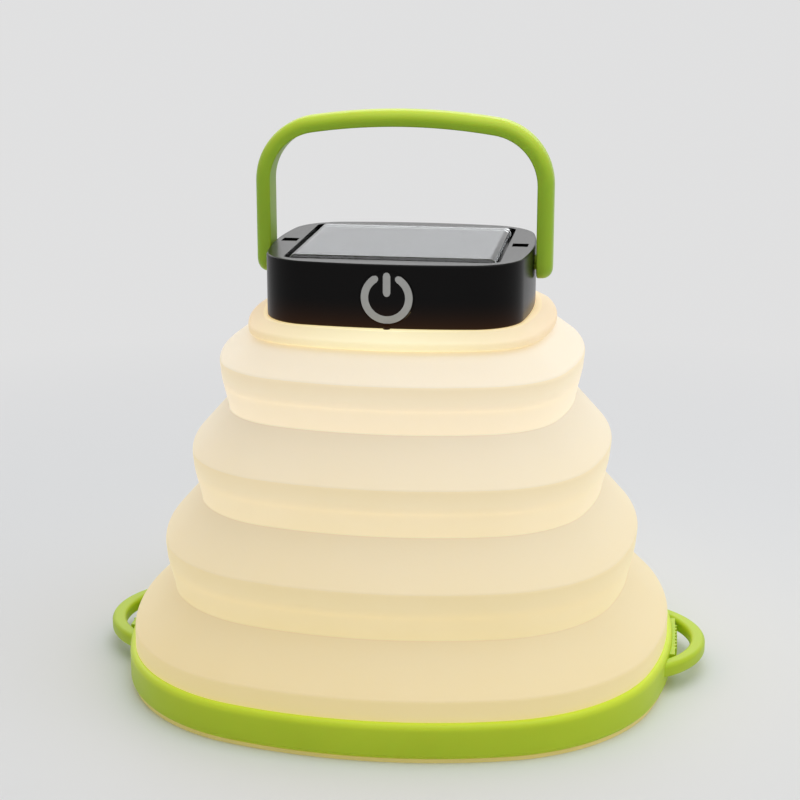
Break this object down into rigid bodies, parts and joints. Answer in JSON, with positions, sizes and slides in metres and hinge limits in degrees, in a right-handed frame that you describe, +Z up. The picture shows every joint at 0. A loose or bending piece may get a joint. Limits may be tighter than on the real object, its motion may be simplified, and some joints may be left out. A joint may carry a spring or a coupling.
{
  "type": "camping lantern",
  "caption": "Collapsible solar camping lantern: a box lamp head with a bail handle on a pleated translucent bellows, standing on a rounded base with strap loops.",
  "frame": {"origin": "centre of the underside of the base", "axes": "+Z up, front of the lamp head with the power button towards -Y, strap loops at +X and -X"},
  "size_m": [0.1678, 0.144, 0.1522],
  "materials": {
    "silicone": "frosted translucent",
    "base_clear": "translucent",
    "lime": "satin",
    "black": "satin",
    "steel": "plated",
    "lens": "frosted",
    "board": "solder mask",
    "led": "resin",
    "battery": "foil pouch",
    "contact": "plated",
    "cell": "solar cell",
    "cover": "clear",
    "symbol": "silver print"
  },
  "bodies": {
    "base": {"base_plate": "base_clear", "base_band": "lime", "strap_loop_left": "lime", "strap_loop_right": "lime", "base_clamp": "base_clear", "base_screws": "steel", "bellows_skirt": "silicone", "bellows_fold_4": "silicone"},
    "tier_3": {"bellows_band_3": "silicone", "bellows_fold_3": "silicone"},
    "tier_2": {"bellows_band_2": "silicone", "bellows_fold_2": "silicone"},
    "tier_1": {"bellows_band_1": "silicone", "bellows_fold_1": "silicone"},
    "head": {"bellows_collar": "silicone", "collar_clamp": "black", "clamp_screws": "steel", "head_floor": "black", "led_lens": "lens", "circuit_board": "board", "board_screws": "steel", "leds": "led", "tact_switch": "black", "battery": "battery", "panel_contacts": "contact", "head_housing": "black", "solar_cell": "cell", "solar_cover": "cover"},
    "button": {"power_button": "black", "power_symbol": "symbol"},
    "bail": {"bail_handle": "lime"}
  },
  "joints": [
    {"name": "collapse", "type": "slide", "parent": "base", "child": "tier_3", "axis": [0, 0, -1], "range_m": [0, 0.0165], "deforming": ["bellows_fold_4"]},
    {"name": "fold_3_close", "type": "slide", "parent": "tier_3", "child": "tier_2", "axis": [0, 0, -1], "range_m": [0, 0.0165], "deforming": ["bellows_fold_3"]},
    {"name": "fold_2_close", "type": "slide", "parent": "tier_2", "child": "tier_1", "axis": [0, 0, -1], "range_m": [0, 0.0165], "deforming": ["bellows_fold_2"]},
    {"name": "fold_1_close", "type": "slide", "parent": "tier_1", "child": "head", "axis": [0, 0, -1], "range_m": [0, 0.0165], "deforming": ["bellows_fold_1"]},
    {"name": "button_press", "type": "slide", "parent": "head", "child": "button", "axis": [0, 1, 0], "range_m": [0, 0.0006], "stiffness_N_per_m": 1500},
    {"name": "bail_swing", "type": "hinge", "parent": "head", "child": "bail", "pos_m": [0, 0, 0.1125], "axis": [1, 0, 0], "range_deg": [-90, 90]}
  ],
  "couplings": [
    {"joint": "fold_3_close", "follows": "collapse", "ratio": 1},
    {"joint": "fold_2_close", "follows": "collapse", "ratio": 1},
    {"joint": "fold_1_close", "follows": "collapse", "ratio": 1}
  ]
}
